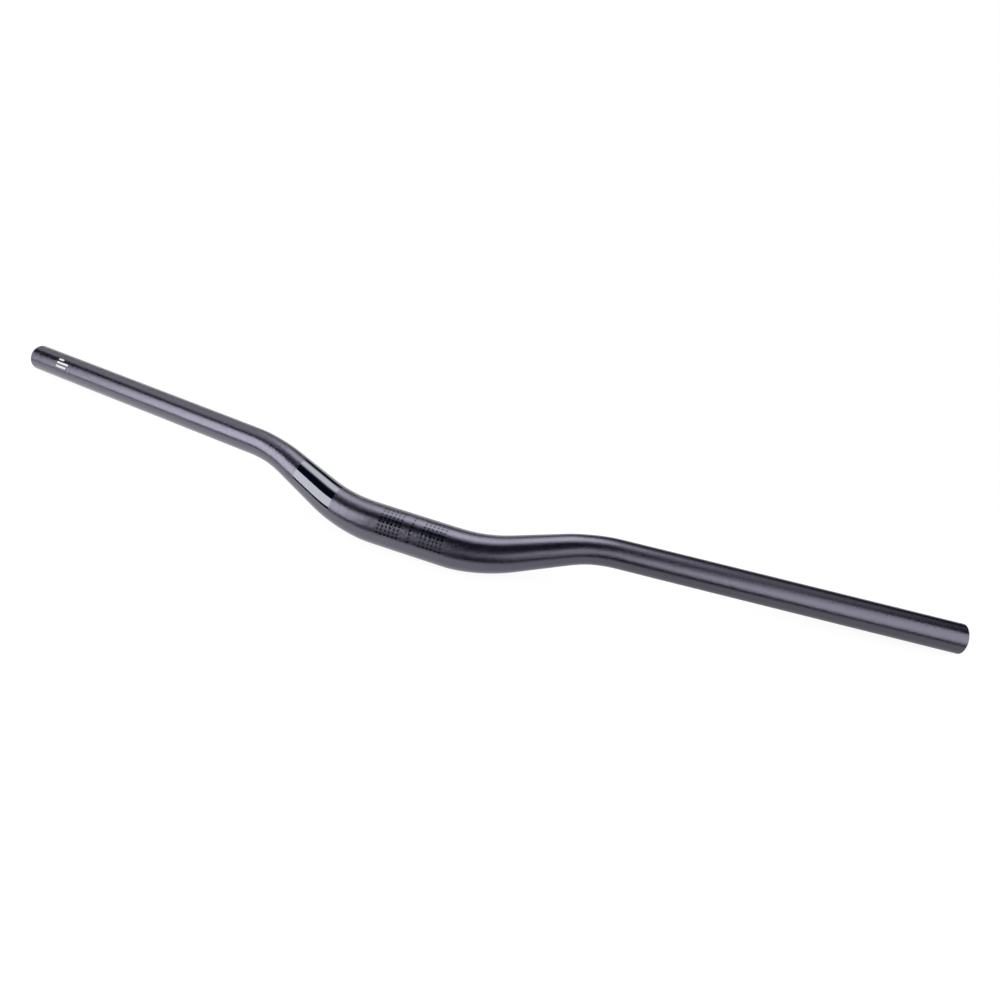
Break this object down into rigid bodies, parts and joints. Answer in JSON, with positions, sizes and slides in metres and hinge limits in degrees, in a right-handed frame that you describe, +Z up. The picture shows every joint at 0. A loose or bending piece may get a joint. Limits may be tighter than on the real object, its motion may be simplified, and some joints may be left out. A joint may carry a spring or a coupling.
{
  "type": "riser handlebar",
  "caption": "Wide riser handlebar: a swaged tube with a thick clamp seat, a low rise, slight back and up sweep, and open thin-walled ends for grips.",
  "frame": {"origin": "centre of the clamp seat: on its axis, midway between the two ends", "axes": "+X along the clamp seat towards the rider's left end, +Z up from the surface that the bar lies on, +Y from the clamp seat towards the two ends. As ridden, the bar is turned about X by 63.8 degrees, so that its rise points up and its ends point back"},
  "size_m": [0.8032, 0.0913, 0.0402],
  "materials": {
    "tube": "satin dark grey anodised, with gloss black prints"
  },
  "bodies": {
    "root": {"handlebar": "tube"}
  },
  "joints": []
}
